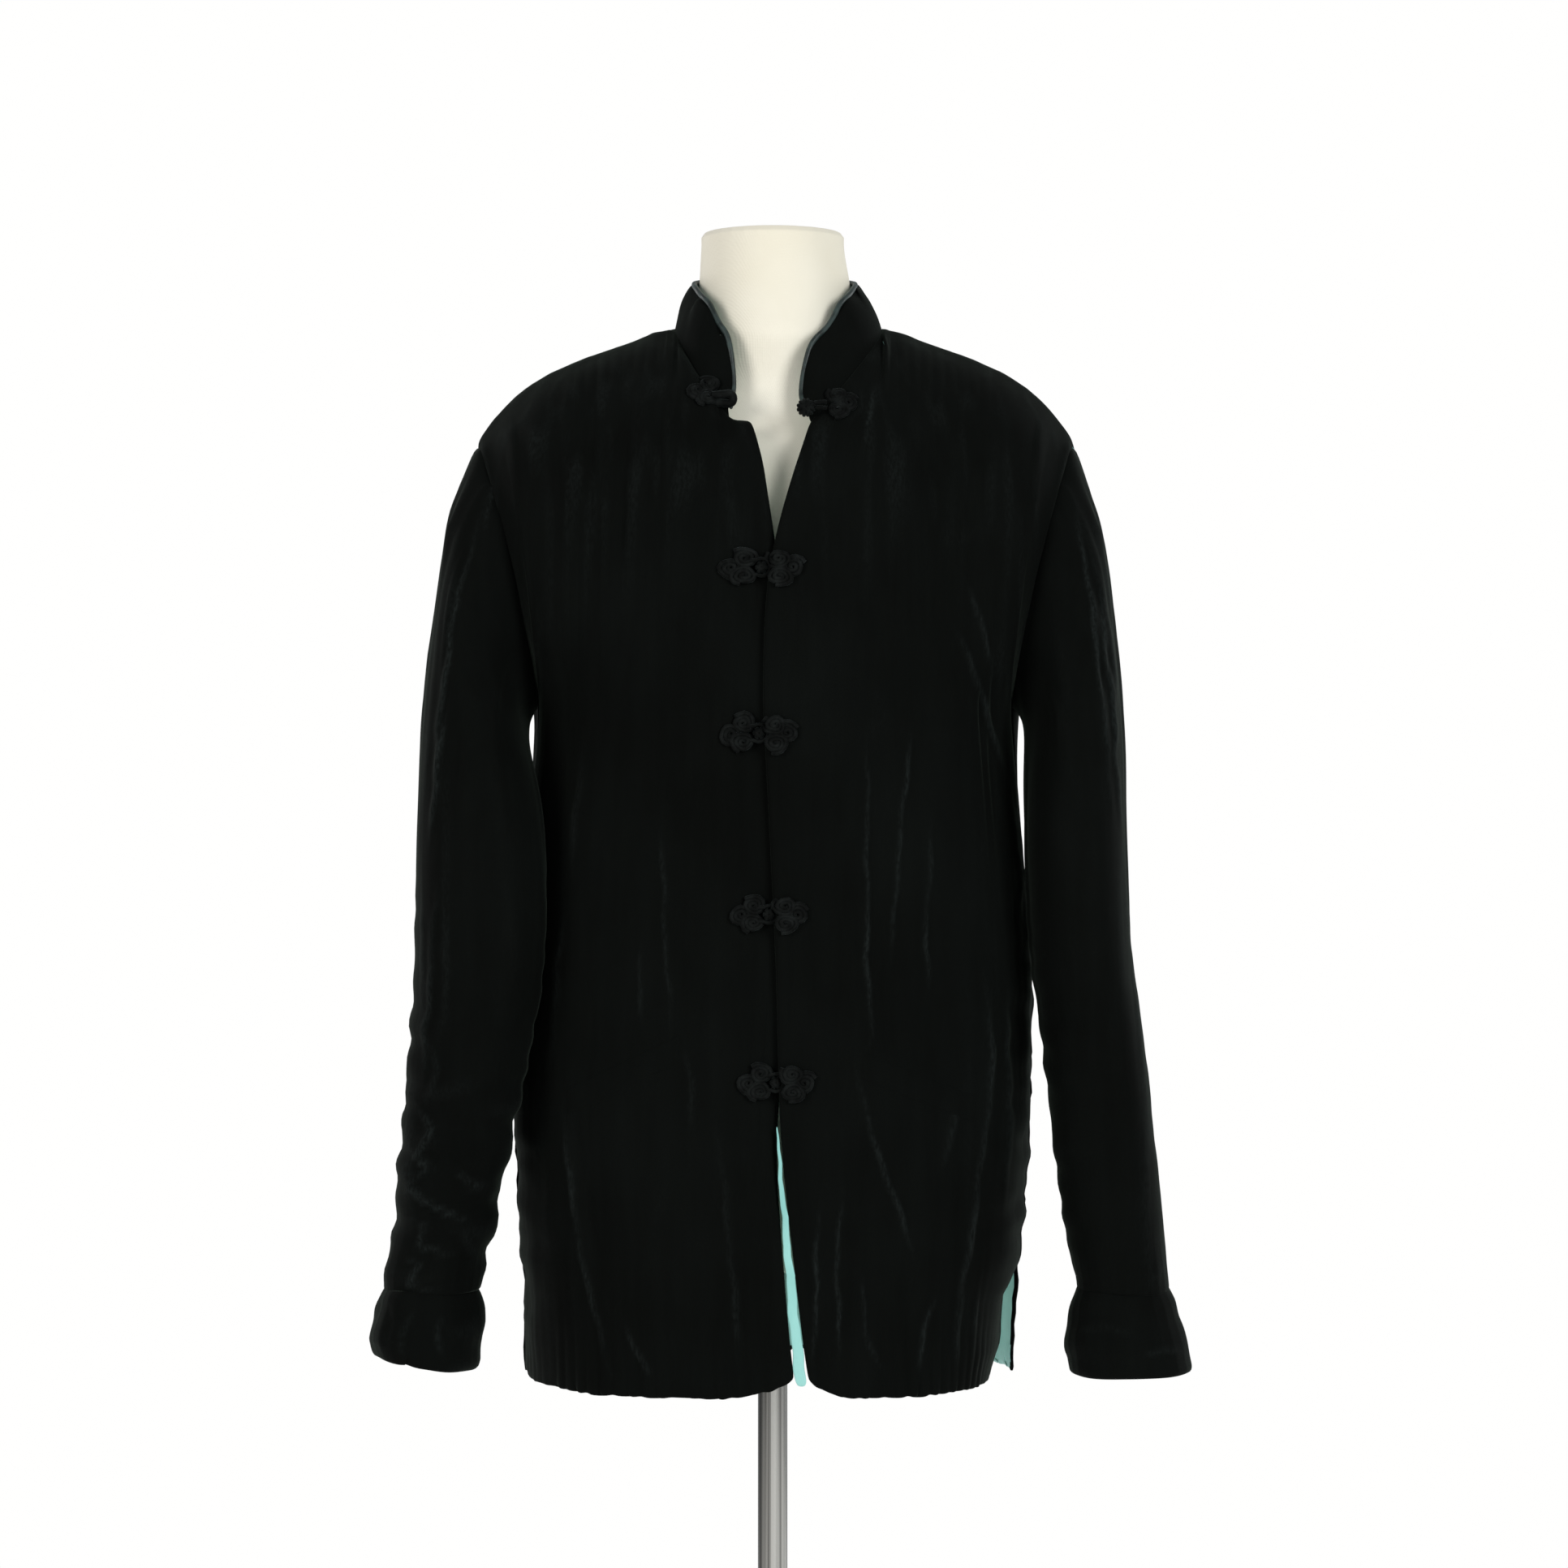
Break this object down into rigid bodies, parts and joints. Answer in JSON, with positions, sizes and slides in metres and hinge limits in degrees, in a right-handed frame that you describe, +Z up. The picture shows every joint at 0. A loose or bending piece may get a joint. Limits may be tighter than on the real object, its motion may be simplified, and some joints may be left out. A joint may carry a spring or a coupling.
{
  "type": "mandarin collar quilted jacket on dress form",
  "caption": "Velvet jacket quilted in narrow vertical channels, with a stand collar, corded frog fastenings and flared cuffs, on a limbless dress form and round stand.",
  "frame": {"origin": "centre of the stand base's underside, on the floor and on the pole's axis", "axes": "+Z up the pole, -Y out of the jacket's front, +X towards the wearer's left"},
  "size_m": [0.5482, 0.38, 1.4735],
  "materials": {
    "velvet": "soft black-green pile with a pale sheen",
    "lining": "satin, pale teal",
    "form_cloth": "plain cream jersey",
    "chrome": "polished tube",
    "painted_steel": "satin dark grey"
  },
  "bodies": {
    "root": {"front_left": "velvet", "front_right": "velvet", "back": "velvet", "sleeve_left": "velvet", "sleeve_right": "velvet", "cuff_left": "velvet", "cuff_right": "velvet", "collar": "velvet", "welt_left": "velvet", "welt_right": "velvet", "collar_pad_left": "velvet", "collar_pad_right": "velvet", "collar_knot": "velvet", "collar_loop": "velvet", "frog_1_knot": "velvet", "frog_1_knot_pad": "velvet", "frog_1_loop_pad": "velvet", "frog_2_knot": "velvet", "frog_2_knot_pad": "velvet", "frog_2_loop_pad": "velvet", "frog_3_knot": "velvet", "frog_3_knot_pad": "velvet", "frog_3_loop_pad": "velvet", "frog_4_knot": "velvet", "frog_4_knot_pad": "velvet", "frog_4_loop_pad": "velvet", "collar_binding": "lining", "front_edge_lining": "lining", "dress_form": "form_cloth", "pole": "chrome", "stand_base": "painted_steel"}
  },
  "joints": []
}
